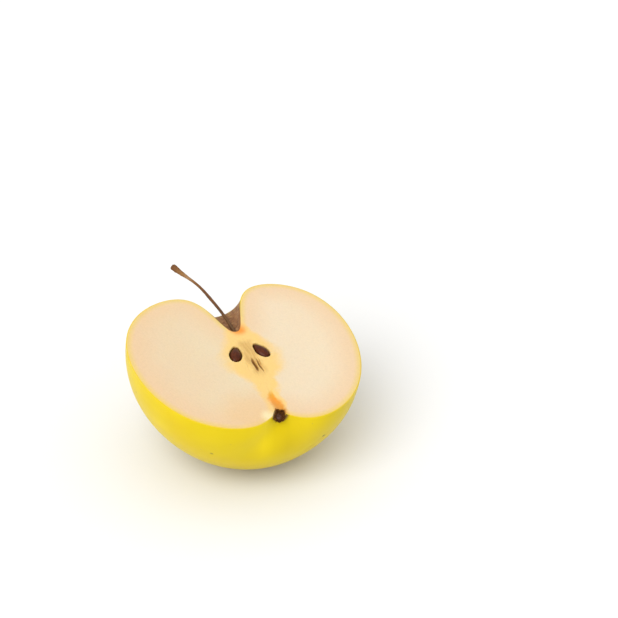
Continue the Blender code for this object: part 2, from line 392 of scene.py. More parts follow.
def pocket_depth(x, y):
    """How deep the pips' pockets are under the face point (x, y)."""
    deepest = 0.0
    for place, turn in PIPS.values():
        across, along = on_face(place, turn, x, y)
        end = along / (PIP_LENGTH / 2 + POCKET_GAP)
        if abs(end) >= 1.15:
            continue
        width = pip_half_width(min(max(end, -1.0), 1.0)) + POCKET_GAP
        over = max(abs(across) - width, (abs(end) - 1) * PIP_LENGTH / 2)
        deepest = max(deepest, POCKET_DEPTH * ease(0.35 - over / POCKET_SLOPE))
    return deepest


def slit_depth(x, y):
    deepest = 0.0
    for place, half_length, half_width, depth, turn in SLITS:
        across, along = on_face(place, turn, x, y)
        end = along / half_length
        if abs(end) >= 1:
            continue
        wave = SLIT_WAVE * math.sin(end * 5 + place.x / MM)
        width = half_width * math.sqrt(1 - end * end)
        inside = 1 - abs(across + wave) / (width + SLIT_SOFTNESS)
        deepest = max(deepest, depth * ease(inside * 1.6) * (1 - end * end))
    return deepest


def groove_depth(x, y):
    """The upper part of the calyx tube, half as deep as in the CAD and with softer sides."""
    if not TUBE_NECK.y - GROOVE_FADE < y < TUBE_TIP.y + 0.5 * MM:
        return 0.0
    centre, radius = tube_at(max(y, TUBE_NECK.y))
    inside = 1 - ((x - centre.x) / (radius * 1.3 + 0.1 * MM)) ** 2
    fade = ease((y - TUBE_NECK.y) / GROOVE_FADE + 1)
    return GROOVE_FLATNESS * radius * max(inside, 0.0) ** 1.5 * fade


def core_dip(x, y):
    """The core dries first and sinks a little below the rest of the cut."""
    across = abs(x - CORE_CENTRE) / CORE_HALF_WIDTH
    along = ease((y - CORE_LOW) / (5 * MM)) * ease((CORE_TOP - y) / (4 * MM))
    return CORE_DIP * ease(1.4 - across) * along


def hollow_depth(x, y):
    return max(pocket_depth(x, y), slit_depth(x, y), groove_depth(x, y))


def face_height(x, y):
    """The cut face's height: nearly flat, and lower in the core and the hollows."""
    swell = noise.noise(Vector((x, y, 0)) / SWELL_LENGTH) * SWELL
    drag = noise.noise(Vector((x / DRAG_LENGTH, y / DRAG_WIDTH, 4))) * DRAG
    return swell + drag - core_dip(x, y) - hollow_depth(x, y)


def edge_drop(x):
    """How far the skin's edge is rounded down. It stays sharp in the stem cavity and the basin."""
    return EDGE_DROP * ease(abs(x) / EDGE_SHARP)


def near_hollow(middle, reach):
    """Whether there is a hollow at a point of the face or within reach of it."""
    for across in (-reach, 0.0, reach):
        for along in (-reach, 0.0, reach):
            if hollow_depth(middle.x + across, middle.y + along) > 0:
                return True
    return False


def cut_face(downs):
    """The knife's cut: one face with the fruit's outline, inset along its rim, cut into squares
    and divided finer at the hollows."""
    edge = cut_outline(downs)
    deselect()
    bpy.ops.mesh.primitive_circle_add(vertices=len(edge), radius=1.0, fill_type="NGON")
    face = bpy.context.object
    for vertex, point in zip(face.data.vertices, edge):
        vertex.co = point

    start_edit(face)
    for step in EDGE_STEPS:
        bpy.ops.mesh.inset(thickness=step, depth=0.0)
    bpy.ops.mesh.hide(unselected=True)
    for normal in (Vector((1, 0, 0)), Vector((0, 1, 0))):
        for line in range(-FACE_LINES, FACE_LINES + 1):
            bpy.ops.mesh.select_all(action="SELECT")
            place = normal * (line + FACE_SHIFT) * FACE_SQUARE
            bpy.ops.mesh.bisect(plane_co=place, plane_no=normal, threshold=WELD / 2)
    bpy.ops.mesh.reveal()
    bpy.ops.object.mode_set(mode="OBJECT")
    rim_at = rim_finder()
    for reach in FINER_REACHES:
        edit(
            face,
            lambda: bpy.ops.mesh.subdivide(number_cuts=1),
            pick=lambda at: rim_at(at.x, at.y) > sum(EDGE_STEPS) and near_hollow(at, reach),
        )

    for vertex in face.data.vertices:
        x, y, _ = vertex.co
        rim = rim_at(x, y)
        height = face_height(x, y) * ease(rim / FACE_FADE)
        vertex.co.z = height - edge_drop(x) * math.exp(-rim / EDGE_ROUNDING)
    for vertex, point in zip(face.data.vertices, edge):
        vertex.co = (point.x, point.y, -edge_drop(point.x))
    edit(face, lambda: bpy.ops.mesh.quads_convert_to_tris(quad_method="BEAUTY"))
    return face


def make_flesh(obj, fruit):
    """Gives obj the materials of the fruit, and all its faces the flesh."""
    for material in fruit.data.materials:
        obj.data.materials.append(material)
    for polygon in obj.data.polygons:
        polygon.material_index = FLESH


def apple_half():
    """The skin is one grid bent round the back, joined along its edge to the cut face."""
    downs = even_downs()
    skin = new_grid("apple_half_cut", BACK_COLUMNS, ROWS)
    for vertex in skin.data.vertices:
        around = math.pi * vertex.co.x / BACK_COLUMNS
        point = skin_point(downs[int(vertex.co.y)], around)
        point.z = min(point.z, -edge_drop(math.hypot(point.x, point.z)))
        vertex.co = point
    face = cut_face(downs)

    skin.data.materials.append(waxy_yellow_apple_skin())
    skin.data.materials.append(fresh_cut_apple_flesh())
    make_flesh(face, skin)
    select(skin, face)
    bpy.ops.object.join()
    edit(
        skin,
        lambda: bpy.ops.mesh.remove_doubles(threshold=WELD),
        lambda: bpy.ops.mesh.dissolve_degenerate(threshold=WELD / 4),
        lambda: bpy.ops.mesh.normals_make_consistent(inside=False),
    )
    cut_calyx_seat(skin)
    mark_rim(skin)
    into_place(skin, "apple_half", slot="yellow_apple_skin_and_flesh")
    rest_on_floor(skin)


def cut_calyx_seat(fruit):
    """Cuts out the deep mouth of the calyx tube, which the calyx sits in."""
    axis = TUBE_NECK - SEAT_MOUTH
    deselect()
    bpy.ops.mesh.primitive_cone_add(
        vertices=40, radius1=SEAT_MOUTH_RADIUS, radius2=TUBE_NECK_RADIUS, depth=axis.length
    )
    seat = bpy.context.object
    turn = axis.to_track_quat("Z", "Y").to_matrix().to_4x4()
    seat.data.transform(Matrix.Translation((TUBE_NECK + SEAT_MOUTH) / 2) @ turn)
    make_flesh(seat, fruit)
    apply_modifier(fruit, "BOOLEAN", operation="DIFFERENCE", solver="EXACT", object=seat)
    bpy.data.objects.remove(seat, do_unlink=True)


def mark_rim(fruit):
    """Stores how far each point of the cut is from the skin, in millimetres, for the materials."""
    flesh = set()
    for polygon in fruit.data.polygons:
        if polygon.material_index == FLESH:
            flesh.update(polygon.vertices)
    rim_at = rim_finder()
    layer = fruit.data.attributes.new("rim", "FLOAT", "POINT")
    for index in flesh:
        x, y, _ = fruit.data.vertices[index].co
        layer.data[index].value = rim_at(x, y) / MM


def rest_on_floor(obj):
    """Flattens the spot that the fruit lies on."""
    for vertex in obj.data.vertices:
        vertex.co.z = max(vertex.co.z, 0.0)


# Pips, stem and calyx


def pip(node):
    """A pip is a flattened drop with fine lines along it and shallow dents."""
    place, turn = PIPS[node]
    obj = new_sphere(node + "_seed", *PIP_MESH)
    for vertex in obj.data.vertices:
        point = vertex.co.copy()
        flat = 1 - 0.3 * ease(point.y)
        angle = math.atan2(point.z, point.x)
        lines = PIP_LINES * math.sin(angle * 17 + point.y * 2) * (1 - point.y * point.y)
        vertex.co.x = point.x * (PIP_WIDTH / 2 * pip_narrowing(point.y) + lines)
        vertex.co.z = point.z * (PIP_THICKNESS / 2 * flat + lines)
        vertex.co.y = point.y * PIP_LENGTH / 2
        dent = noise.noise(vertex.co / PIP_DENT_LENGTH + Vector((0, 0, place.x / MM)))
        vertex.co.z += PIP_DENT * dent
    lay = Matrix.Translation((place.x, place.y, -PIP_SINK)) @ Matrix.Rotation(turn, 4, "Z")
    obj.data.transform(lay)
    obj.data.materials.append(glossy_brown_seed_coat(place, turn))
    into_place(obj, node, slot="apple_pip", angle=60)


def stem_at(along):
    """The stem's centre, radius and direction, for along from 0 at the root to 1 at the knob."""
    spans = len(STEM_PATH) - 1
    at = min(int(along * spans), spans - 1)
    part = along * spans - at
    ends = [STEM_PATH[min(max(at + i, 0), spans)] for i in (-1, 0, 1, 2)]

    def through(values):
        before, start, end, after = values
        out_of, into = (end - before) / 2, (after - start) / 2
        square, cube = part * part, part * part * part
        return (
            start * (2 * cube - 3 * square + 1)
            + out_of * (cube - 2 * square + part)
            + end * (3 * square - 2 * cube)
            + into * (cube - square)
        )

    return through([place for place, _ in ends]), through([radius for _, radius in ends])


def stem():
    """A woody stem, faintly ridged along its length, with a rough swollen knob."""
    obj = new_sphere("apple_stem", *STEM_MESH)
    for vertex in obj.data.vertices:
        angle, along = on_sphere(vertex.co)
        centre, radius = stem_at(along)
        ahead, _ = stem_at(min(along + 0.01, 1.0))
        behind, _ = stem_at(max(along - 0.01, 0.0))
        direction = (ahead - behind).normalized()
        side = direction.cross(Vector((0, 0, 1))).normalized()
        up = side.cross(direction)
        radius *= domed(along, 0.035)
        knob = ease((along - KNOB_START) / 0.2)
        ridges = STEM_RIDGES[0] * math.sin(angle * 6 + along * 7)
        ridges += STEM_RIDGES[1] * math.sin(angle * 11 - along * 17)
        rough = noise.noise(Vector((math.cos(angle), math.sin(angle), along * 30)) * 1.2)
        fine = noise.noise(Vector((math.cos(angle) * 3, math.sin(angle) * 3, along * 120)))
        lumps = rough * (STEM_LUMPS + KNOB_LUMPS * knob)
        radius *= 1 + ridges + lumps + fine * (STEM_GRAIN + KNOB_GRAIN * knob)
        vertex.co = centre + (side * math.cos(angle) + up * math.sin(angle)) * radius
    obj.data.materials.append(dry_brown_fruit_stem())
    into_place(obj, "stem", slot="apple_stem", angle=60)


def calyx_point(around, along):
    """A point of the cup's middle surface, for around and along from 0 to 1: the floor first,
    then the wall, then the sepals."""
    floor, rim = 0.2, 0.5
    angle = mix(CALYX_EDGE, math.pi - CALYX_EDGE, around)
    sepal = abs(math.cos(SEPALS * (angle - math.pi / 2) / 2))
    y = mix(CALYX_FLOOR_Y, CALYX_RIM_Y, min(max(along - floor, 0.0) / (rim - floor), 1.0))
    _, radius = seat_at(y)
    radius -= CALYX_GAP + CALYX_WALL / 2
    radius = mix(CALYX_FLOOR_HOLE, radius, math.sin(min(along / floor, 1.0) * math.pi / 2))
    free = max(along - rim, 0.0) / (1 - rim)
    y -= SEPAL_LENGTH * free * (0.35 + 0.65 * sepal**0.8)
    radius += SEPAL_CURL * (0.5 * math.sin(free * math.pi) - free * sepal)
    centre, _ = seat_at(y)
    inward = Vector((0, 0, -1))
    rightward = (SEAT_MOUTH - TUBE_NECK).normalized().cross(inward)
    point = centre - rightward * radius * math.cos(angle) + inward * radius * math.sin(angle)
    crinkle = noise.noise_vector(point / CRINKLE_LENGTH)
    return point + crinkle * CRINKLE * (0.3 + free)


def calyx():
    """A dried cup, open where the knife went through, with crumpled sepals round its rim."""
    noise.seed_set(CRINKLE_SEED)
    columns, rows = 72, 48
    obj = new_grid("calyx_cup", columns, rows)
    for vertex in obj.data.vertices:
        vertex.co = calyx_point(vertex.co.x / columns, vertex.co.y / rows)
    edit(obj, lambda: bpy.ops.mesh.normals_make_consistent(inside=False))
    apply_modifier(obj, "SOLIDIFY", thickness=CALYX_WALL, offset=0.0)
    obj.data.materials.append(dried_sepal())
    into_place(obj, "calyx", slot="dried_calyx", angle=50)


def stamens():
    """The dried stamens, a few crooked threads that stand in the calyx cup and lean with it."""
    threads = []
    for index in range(STAMENS):
        shift = (index - 3) / 3
        depth = 0.5 + 0.5 * math.sin(index * 2.3)
        foot, foot_radius = seat_at(CALYX_FLOOR_Y - 0.2 * MM)
        end, end_radius = seat_at(CALYX_RIM_Y - (0.5 + depth) * MM)
        foot += Vector((shift * 0.5 * foot_radius, 0.0, -(0.35 + 0.35 * depth) * foot_radius))
        end += Vector((shift * 0.55 * end_radius, 0.0, -(0.2 + 0.5 * depth) * end_radius))
        thread = new_sphere("thread", *THREAD_MESH)
        for vertex in thread.data.vertices:
            angle, share = on_sphere(vertex.co)
            radius = THREAD_RADIUS + THREAD_SWELL * ease((share - 0.85) / 0.1)
            radius *= domed(share, 0.06)
            bend = Vector((math.sin(share * 4 + index), 0, math.cos(share * 3 + index * 1.7)))
            middle = foot.lerp(end, share) + bend * THREAD_BEND * share
            vertex.co = middle + Vector((math.cos(angle), 0, math.sin(angle))) * radius
        edit(thread, lambda: bpy.ops.mesh.normals_make_consistent(inside=False))
        threads.append(thread)
    select(*threads)
    bpy.ops.object.join()
    threads[0].name = "calyx_stamens"
    threads[0].data.materials.append(dried_sepal())
    into_place(threads[0], slot="dried_calyx", angle=60)


# Materials

# What many nodes share: a soft edge, and a mix of two colours.
SOFT = {"interpolation_type": "SMOOTHSTEP"}
TINT = {"out": 2, "data_type": "RGBA"}


def add(tree, kind, inputs=(), out=0, stops=(), points=(), **settings):
    """Adds a node and returns one of its outputs. inputs are pairs of a socket and the value,
    colour code or output that goes in, stops colour a ramp, and points bend a curve."""
    made = tree.nodes.new("ShaderNode" + kind)
    for name, value in settings.items():
        setattr(made, name, value)
    for name, value in inputs:
        if isinstance(value, bpy.types.NodeSocket):
            tree.links.new(value, made.inputs[name])
        else:
            made.inputs[name].default_value = linear(value) if isinstance(value, str) else value
    for index, (place, code) in enumerate(stops):
        while len(made.color_ramp.elements) <= index:
            made.color_ramp.elements.new(1.0)
        made.color_ramp.elements[index].position = place
        made.color_ramp.elements[index].color = linear(code)
    for index, (place, height) in enumerate(points):
        curve = made.mapping.curves[0]
        if index < 2:
            curve.points[index].location = (place, height)
        else:
            curve.points.new(place, height)
    if points:
        made.mapping.update()
    return made.outputs[out] if len(made.outputs) else None


def new_material(name, finish):
    """A material with its shader, set to finish, and the fruit's frame in millimetres."""
    made = bpy.data.materials.new(name)
    made.use_nodes = True
    tree = made.node_tree
    tree.nodes.clear()
    shader = add(tree, "BsdfPrincipled", finish.items()).node
    add(tree, "OutputMaterial", [("Surface", shader.outputs[0])])
    back = FRUIT.inverted()
    fruit = add(
        tree,
        "Mapping",
        [
            ("Vector", add(tree, "TexCoord", out="Object")),
            ("Location", back.translation / MM),
            ("Rotation", back.to_euler("XYZ")),
            ("Scale", (1 / MM, 1 / MM, 1 / MM)),
        ],
    )
    return made, tree, shader, fruit


def round_patch(tree, coords, middle, edge, core, most=1.0):
    """How much a round patch covers: most within core of its middle, and nothing past edge."""
    away = add(tree, "VectorMath", [(0, coords), (1, middle)], out="Value", operation="DISTANCE")
    ends = [("From Min", edge), ("From Max", core), ("To Max", most)]
    return add(tree, "MapRange", [("Value", away), *ends], **SOFT)


def fresh_cut_apple_flesh():
    """Apple flesh a few minutes after the cut: moist and cream-coloured, a little translucent,
    yellow round the core, and browning where it meets the stem and the calyx tube."""
    made, tree, shader, fruit = new_material(
        "fresh_cut_apple_flesh",
        {
            "Subsurface Weight": 0.25,
            "Subsurface Radius": (1.0, 0.6, 0.3),
            "Subsurface Scale": 0.0015,
            "IOR": 1.38,
            "Specular IOR Level": 0.3,
        },
    )
    x, y, z = add(tree, "SeparateXYZ", [("Vector", fruit)]).node.outputs

    # Slow wandering of every edge, about 1 mm either way over 5 mm, and a third of that.
    wander = add(tree, "TexNoise", [("Vector", fruit), ("Scale", 0.22), ("Detail", 3.0)], out="Color")
    offset = add(tree, "VectorMath", [(0, wander), (1, (0.5, 0.5, 0.5))], operation="SUBTRACT")
    moved, ragged = [
        add(tree, "VectorMath", [(0, offset), (1, reach), (2, fruit)], operation="MULTIPLY_ADD")
        for reach in ((5.0, 5.0, 0.0), (1.6, 1.6, 0.0))
    ]
    wx, wy, _ = add(tree, "SeparateXYZ", [("Vector", moved)]).node.outputs

    # The two lobes: peach to cream from left to right, with slow cloudy patches.
    side = add(tree, "MapRange", [("Value", x), ("From Min", -38.0), ("From Max", 30.0)])
    lobes = add(
        tree,
        "ValToRGB",
        [("Fac", side)],
        stops=[
            (0.0, "#D4BA98"), (0.25, "#D4BF9D"), (0.45, "#D5C4A4"), (0.75, "#DBCBB0"),
            (1.0, "#DDCBAE"),
        ],
    )
    cloud = add(tree, "TexNoise", [("Vector", fruit), ("Scale", 0.07), ("Detail", 2.0)], out="Fac")
    cloudy = add(tree, "Mix", [(0, cloud), (6, "#DCBB9A"), (7, "#D6CAA9")], **TINT)

    # Towards the skin the flesh turns peach and then yellow.
    rim = add(tree, "Attribute", out="Fac", attribute_name="rim")
    outer, under = [
        add(
            tree,
            "MapRange",
            [("Value", rim), ("From Min", far), ("From Max", near), ("To Max", most)],
            **SOFT,
        )
        for far, near, most in ((12.0, 1.0, 0.68), (2.7, 0.0, 0.8))
    ]

    # The yellow halo round the core. The curve is its half width, from the calyx to the stem.
    height = add(tree, "MapRange", [("Value", wy), ("From Min", -34.0), ("From Max", 14.0)])
    width = add(
        tree,
        "FloatCurve",
        [("Value", height)],
        points=[
            (0.0, 0.20), (1.0, 0.20), (0.15, 0.21), (0.30, 0.23), (0.40, 0.27), (0.50, 0.44),
            (0.60, 0.64), (0.70, 0.64), (0.80, 0.52), (0.90, 0.36),
        ],
    )
    half = add(tree, "Math", [(0, width), (1, 15.0)], operation="MULTIPLY")
    across = add(tree, "Math", [(0, wx), (1, 0.3)], operation="SUBTRACT")
    across = add(tree, "Math", [(0, across)], operation="ABSOLUTE")
    reach = add(tree, "Math", [(0, across), (1, half)], operation="DIVIDE")
    halo = add(tree, "MapRange", [("Value", reach), ("From Min", 1.25), ("From Max", 0.6)], **SOFT)

    # The tan band of the core itself, between the pips.
    band_off = add(tree, "Math", [(0, wx), (1, 0.55)], operation="SUBTRACT")
    band_off = add(tree, "Math", [(0, band_off)], operation="ABSOLUTE")
    band = 0.8
    for value, edge, core in ((band_off, 3.2, 1.4), (wy, 8.0, 4.0), (wy, -11.5, -6.0)):
        part = add(tree, "MapRange", [("Value", value), ("From Min", edge), ("From Max", core)], **SOFT)
        band = add(tree, "Math", [(0, band), (1, part)], operation="MULTIPLY")
    grain = add(tree, "Mapping", [("Vector", fruit), ("Scale", (1.6, 0.22, 1.0))])
    streak = add(tree, "TexNoise", [("Vector", grain), ("Scale", 1.0), ("Detail", 4.0)], out="Fac")
    streaky = add(
        tree, "ValToRGB", [("Fac", streak)], stops=[(0.3, "#B38747"), (0.5, "#C8A15E"), (0.7, "#D5B16E")]
    )

    # The calyx tube, stained orange. The curves are its middle and half width, from the calyx to
    # the tip, in millimetres from -2.5 to 2.5 and from 0 to 2.5.
    frayed = add(tree, "TexNoise", [("Vector", fruit), ("Scale", 0.7), ("Detail", 3.0)], out="Fac")
    tube_share = add(tree, "MapRange", [("Value", y), ("From Min", -27.5), ("From Max", -15.5)])
    tube_middle = add(
        tree,
        "FloatCurve",
        [("Value", tube_share)],
        points=[
            (0.0, 0.68), (1.0, 0.86), (0.13, 0.68), (0.29, 0.67), (0.40, 0.62), (0.52, 0.53),
            (0.62, 0.53), (0.79, 0.62), (0.92, 0.82),
        ],
    )
    tube_middle = add(tree, "MapRange", [("Value", tube_middle), ("To Min", -2.5), ("To Max", 2.5)])
    tube_width = add(
        tree,
        "FloatCurve",
        [("Value", tube_share)],
        points=[
            (0.0, 0.60), (1.0, 0.04), (0.29, 0.62), (0.40, 0.64), (0.56, 0.52), (0.75, 0.30),
            (0.87, 0.12),
        ],
    )
    tube_width = add(tree, "MapRange", [("Value", tube_width), ("To Max", 2.5)])
    tube_off = add(tree, "Math", [(0, x), (1, tube_middle)], operation="SUBTRACT")
    tube_off = add(tree, "Math", [(0, tube_off)], operation="ABSOLUTE")
    tube_off = add(tree, "Math", [(0, tube_off), (1, tube_width)], operation="DIVIDE")
    tube_off = add(tree, "Math", [(0, frayed), (1, -0.9), (2, tube_off)], operation="MULTIPLY_ADD")
    tube = add(tree, "MapRange", [("Value", tube_off), ("From Min", 1.15), ("From Max", 0.05)], **SOFT)
    tube_top = add(tree, "MapRange", [("Value", y), ("From Min", -15.8), ("From Max", -20.0)], **SOFT)
    tube = add(tree, "Math", [(0, tube), (1, tube_top)], operation="MULTIPLY")
    orange = add(
        tree,
        "ValToRGB",
        [("Fac", tube_share)],
        stops=[(0.0, "#BC7D23"), (0.3, "#D48613"), (0.5, "#E38D11"), (0.75, "#DB9D2A"), (0.9, "#D2AE44")],
    )

    # The skin itself shows as a thin line, brown where the stem cavity is corky.
    peel = add(tree, "MapRange", [("Value", rim), ("From Min", 0.42), ("From Max", 0.18)], **SOFT)
    inner = add(tree, "Math", [(0, x)], operation="ABSOLUTE")
    inner = add(tree, "MapRange", [("Value", inner), ("From Min", 6.5), ("From Max", 4.0)])
    upper = add(tree, "MapRange", [("Value", y), ("From Min", 8.0), ("From Max", 10.0)])
    inner = add(tree, "Math", [(0, inner), (1, upper)], operation="MULTIPLY")
    peel_tone = add(tree, "Mix", [(0, inner), (6, "#D5B835"), (7, "#7D512A")], **TINT)

    # The walls of the pockets and slits darken with depth, which is painted shade, and the seat of the calyx
    # turns dark brown with depth.
    deep = add(tree, "MapRange", [("Value", z), ("From Min", -0.2), ("From Max", -0.9)], **SOFT)
    above_tube = add(tree, "MapRange", [("Value", y), ("From Min", -14.0), ("From Max", -12.0)])
    deep = add(tree, "Math", [(0, deep), (1, above_tube)], operation="MULTIPLY")
    seat = add(tree, "MapRange", [("Value", z), ("From Min", -0.75), ("From Max", -1.3)], **SOFT)
    at_seat = add(tree, "MapRange", [("Value", y), ("From Min", -25.0), ("From Max", -26.5)])
    seat = add(tree, "Math", [(0, seat), (1, at_seat)], operation="MULTIPLY")

    # Browning at the foot of the stem cavity, a peach cloud low in the left lobe, and a pale
    # corner beside the calyx. Each tint covers the ones before it.
    brown = round_patch(tree, ragged, (0.4, 11.8, 0.0), 3.9, 0.8)
    peach = round_patch(tree, moved, (-9.0, -25.0, 0.0), 13.0, 3.0, most=0.6)
    pale = round_patch(tree, ragged, (-4.0, -28.0, 0.0), 3.4, 0.2)
    flesh = lobes
    for cover, tint in (
        (0.3, cloudy),
        (outer, "#DAB992"),
        (under, "#D9BE62"),
        (halo, "#E3BF77"),
        (band, streaky),
        (brown, "#E38D35"),
        (tube, orange),
        (peach, "#D8B585"),
        (pale, "#E2D2A4"),
        (peel, peel_tone),
        # Painted shade in the pockets and slits.
        (deep, "#7C501E"),
        (seat, "#6E421E"),
    ):
        flesh = add(tree, "Mix", [(0, cover), (6, flesh), (7, tint)], **TINT)

    # Clumps of cells about 0.5 mm across, the grain that a cut apple shows close up.
    cells = add(tree, "TexVoronoi", [("Vector", fruit), ("Scale", 2.0)], out="Distance", feature="SMOOTH_F1")
    cell_tone = add(tree, "MapRange", [("Value", cells), ("To Min", 1.03), ("To Max", 0.95)])
    toned = add(tree, "Mix", [(0, 1.0), (6, flesh), (7, cell_tone)], blend_type="MULTIPLY", **TINT)
    tree.links.new(toned, shader.inputs["Base Color"])

    wet = add(tree, "TexNoise", [("Vector", fruit), ("Scale", 0.5), ("Detail", 4.0)], out="Fac")
    gloss = add(tree, "MapRange", [("Value", wet), ("To Min", 0.42), ("To Max", 0.62)])
    tree.links.new(gloss, shader.inputs["Roughness"])
    fine = add(tree, "TexNoise", [("Vector", fruit), ("Scale", 4.0), ("Detail", 3.0)], out="Fac")
    relief = add(tree, "Math", [(0, cells), (1, fine)], operation="ADD")
    bump = add(tree, "Bump", [("Strength", 0.5), ("Distance", 0.00004), ("Height", relief)])
    tree.links.new(bump, shader.inputs["Normal"])
    return made


def waxy_yellow_apple_skin():
    """Ripe yellow apple skin: smooth under a thin natural wax, with pale breathing spots, a few
    dark specks, and brown russet in the stem cavity."""
    made, tree, shader, fruit = new_material(
        "waxy_yellow_apple_skin",
        {
            "Subsurface Weight": 0.15,
            "Subsurface Radius": (1.0, 0.7, 0.15),
            "Subsurface Scale": 0.001,
            "IOR": 1.45,
            "Specular IOR Level": 0.14,
            "Coat Weight": 0.06,
            "Coat Roughness": 0.25,
        },
    )
    x, y, z = add(tree, "SeparateXYZ", [("Vector", fruit)]).node.outputs

    cloud = add(tree, "TexNoise", [("Vector", fruit), ("Scale", 0.06), ("Detail", 3.0)], out="Fac")
    yellow = add(
        tree, "ValToRGB", [("Fac", cloud)], stops=[(0.3, "#DABD03"), (0.5, "#DDC205"), (0.7, "#E1C609")]
    )

    # Faint streaks that run from the stem to the calyx, a few degrees wide.
    flat = add(tree, "CombineXYZ", [("X", x), ("Z", z)])
    turned = add(tree, "VectorMath", [(0, flat)], operation="NORMALIZE")
    lanes = add(tree, "VectorMath", [(0, turned), (1, (9.0, 9.0, 9.0))], operation="MULTIPLY")
    drift = add(tree, "Math", [(0, y), (1, 0.035)], operation="MULTIPLY")
    drift = add(tree, "CombineXYZ", [("Y", drift)])
    lanes = add(tree, "VectorMath", [(0, lanes), (1, drift)], operation="ADD")
    streak = add(tree, "TexNoise", [("Vector", lanes), ("Scale", 1.0), ("Detail", 4.0)], out="Fac")
    streak = add(
        tree, "MapRange", [("Value", streak), ("From Min", 0.35), ("From Max", 0.7), ("To Max", 0.16)]
    )

    # The skin is a little greener towards the calyx basin, and darker on the round back, which faces the
    # floor: painted shade.
    radius = add(tree, "VectorMath", [(0, flat)], out="Value", operation="LENGTH")
    low, back, painted_calyx_light_and_shade = [
        add(
            tree,
            "MapRange",
            [("Value", value), ("From Min", far), ("From Max", near), ("To Max", most)],
            **SOFT,
        )
        for value, far, near, most in (
            (y, -14.0, -31.0, 0.5),
            (z, -17.0, -33.0, 0.4),
            (radius, 19.0, 9.0, 0.6),
        )
    ]

    # Round the calyx, painted light and shade: lighter on the left lobe and darker on the right.
    end = add(tree, "MapRange", [("Value", y), ("From Min", -18.0), ("From Max", -23.0)])
    painted_calyx_light_and_shade = add(tree, "Math", [(0, painted_calyx_light_and_shade), (1, end)], operation="MULTIPLY")
    lobe = add(tree, "MapRange", [("Value", x), ("From Min", -12.0), ("From Max", 12.0)])
    lobe = add(
        tree,
        "ValToRGB",
        [("Fac", lobe)],
        stops=[
            (0.0, "#DCC30A"), (0.27, "#ECD20E"), (0.42, "#D3B905"), (0.6, "#CDB202"),
            (0.85, "#DCC204"),
        ],
    )

    # Breathing spots about 0.5 mm across, 4 mm apart, and faint dark specks some 15 mm apart.
    spots = add(tree, "TexVoronoi", [("Vector", fruit), ("Scale", 0.25), ("Randomness", 0.9)], out="Distance")
    spot = add(tree, "MapRange", [("Value", spots), ("From Min", 0.075), ("From Max", 0.045)], **SOFT)
    spot_part = add(tree, "Math", [(0, spot), (1, 0.45)], operation="MULTIPLY")
    specks = add(tree, "TexVoronoi", [("Vector", fruit), ("Scale", 0.07)], out="Distance")
    speck = add(
        tree,
        "MapRange",
        [("Value", specks), ("From Min", 0.030), ("From Max", 0.016), ("To Max", 0.4)],
        **SOFT,
    )

    # Russet: brown and corky deep in the stem cavity, breaking up into rays towards its lip.
    rays = add(
        tree,
        "TexNoise",
        [("Vector", lanes), ("Scale", 1.6), ("Detail", 5.0), ("Roughness", 0.65)],
        out="Fac",
    )
    rays = add(tree, "Math", [(0, rays), (1, 0.5)], operation="SUBTRACT")
    rays = add(tree, "Math", [(0, rays), (1, 8.0), (2, radius)], operation="MULTIPLY_ADD")
    cork = add(tree, "TexNoise", [("Vector", fruit), ("Scale", 0.9), ("Detail", 5.0)], out="Fac")
    rays = add(tree, "Math", [(0, cork), (1, 8.0), (2, rays)], operation="MULTIPLY_ADD")
    cavity = add(tree, "MapRange", [("Value", rays), ("From Min", 18.5), ("From Max", 10.0)], **SOFT)
    upper = add(tree, "MapRange", [("Value", y), ("From Min", 0.0), ("From Max", 4.0)])
    cavity = add(tree, "Math", [(0, cavity), (1, upper)], operation="MULTIPLY")
    corky = add(
        tree, "ValToRGB", [("Fac", cork)], stops=[(0.3, "#724E35"), (0.5, "#8F6440"), (0.7, "#A67D52")]
    )

    # The skin is brown where the calyx grows out of it.
    basin = add(tree, "MapRange", [("Value", radius), ("From Min", 3.0), ("From Max", 2.1)], **SOFT)
    under = add(tree, "MapRange", [("Value", y), ("From Min", -20.0), ("From Max", -24.0)])
    basin = add(tree, "Math", [(0, basin), (1, under)], operation="MULTIPLY")

    # Two small brown marks on the front. Each tint covers the ones before it.
    left_mark = round_patch(tree, fruit, (-20.7, -26.8, -13.8), 0.8, 0.25, most=0.55)
    right_mark = round_patch(tree, fruit, (15.5, -30.2, -11.0), 0.8, 0.25, most=0.8)
    skin = yellow
    for cover, tint in (
        (streak, "#CBAE04"),
        (low, "#D0B904"),
        # Painted light and shade round the calyx.
        (painted_calyx_light_and_shade, lobe),
        # Painted shade on the round back, where it faces the floor.
        (back, "#A38F14"),
        (spot_part, "#B49F41"),
        (speck, "#62501F"),
        (left_mark, "#62501F"),
        (right_mark, "#62501F"),
        (cavity, corky),
        (basin, "#6D5024"),
    ):
        skin = add(tree, "Mix", [(0, cover), (6, skin), (7, tint)], **TINT)
    tree.links.new(skin, shader.inputs["Base Color"])

    rough = add(tree, "TexNoise", [("Vector", fruit), ("Scale", 0.4), ("Detail", 4.0)], out="Fac")
    rough = add(tree, "MapRange", [("Value", rough), ("To Min", 0.30), ("To Max", 0.46)])
    rough = add(tree, "Math", [(0, cavity), (1, 0.35), (2, rough)], operation="MULTIPLY_ADD")
    tree.links.new(rough, shader.inputs["Roughness"])

    # Skin cells, drawn at 0.6 mm so that they show, and the spots stand in small pits.
    peel = add(tree, "TexNoise", [("Vector", fruit), ("Scale", 1.6), ("Detail", 2.0)], out="Fac")
    pitted = add(tree, "Math", [(0, spot), (1, -0.6), (2, peel)], operation="MULTIPLY_ADD")
    corked = add(tree, "Math", [(0, cork), (1, cavity)], operation="MULTIPLY")
    height = add(tree, "Math", [(0, corked), (1, 3.0), (2, pitted)], operation="MULTIPLY_ADD")
    bump = add(tree, "Bump", [("Strength", 0.35), ("Distance", 0.00005), ("Height", height)])
    tree.links.new(bump, shader.inputs["Normal"])
    return made


